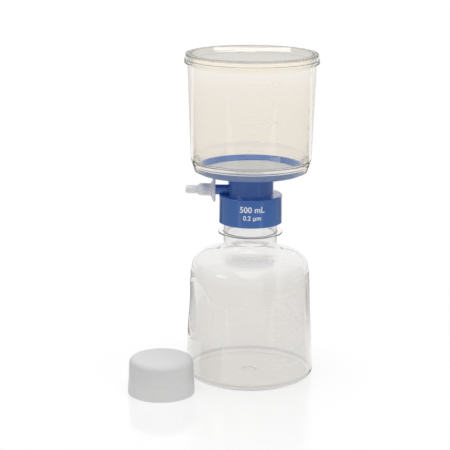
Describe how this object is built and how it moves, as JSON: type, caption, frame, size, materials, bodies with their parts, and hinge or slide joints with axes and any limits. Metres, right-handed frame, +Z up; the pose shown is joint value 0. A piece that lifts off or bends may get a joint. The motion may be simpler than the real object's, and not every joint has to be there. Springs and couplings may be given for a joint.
{
  "type": "vacuum filtration unit",
  "caption": "Vacuum filtration unit: lidded funnel chamber over a blue membrane housing with a side arm, screwed onto a clear receiver bottle, with its storage cap beside it.",
  "frame": {"origin": "centre of the receiver bottle's foot ring, on the bench", "axes": "+Z up along the unit's axis; the side arm and its hose nozzle point along -X; the storage cap stands towards -X and -Y"},
  "size_m": [0.1479, 0.1313, 0.2609],
  "materials": {
    "clear_styrene": "gloss",
    "blue_styrene": "gloss",
    "membrane_film": "matte",
    "plug_fibre": "matte",
    "natural_polypropylene": "satin",
    "gasket_rubber": "matte",
    "white_polyethylene": "satin"
  },
  "bodies": {
    "bottle": {"receiver_bottle": "clear_styrene", "storage_cap": "white_polyethylene"},
    "gasket": {"neck_gasket": "gasket_rubber"},
    "head": {"filter_housing": "blue_styrene", "membrane": "membrane_film", "vent_plug": "plug_fibre", "upper_chamber": "clear_styrene"},
    "lid": {"lid": "clear_styrene"},
    "adapter": {"hose_adapter": "natural_polypropylene"}
  },
  "joints": [
    {"name": "head_rise", "type": "slide", "parent": "bottle", "child": "gasket", "axis": [0, 0, 1], "range_m": [0, 0.006]},
    {"name": "head_turn", "type": "hinge", "parent": "gasket", "child": "head", "pos_m": [0, 0, 0.1464], "axis": [0, 0, 1], "range_deg": [0, 540]},
    {"name": "lid_lift", "type": "slide", "parent": "head", "child": "lid", "axis": [0, 0, 1], "range_m": [0, 0.03]},
    {"name": "adapter_pull", "type": "slide", "parent": "head", "child": "adapter", "axis": [-1, 0, 0], "range_m": [0, 0.012]}
  ],
  "couplings": [
    {"joint": "head_rise", "follows": "head_turn", "m_per_rad": 0.0006366}
  ]
}
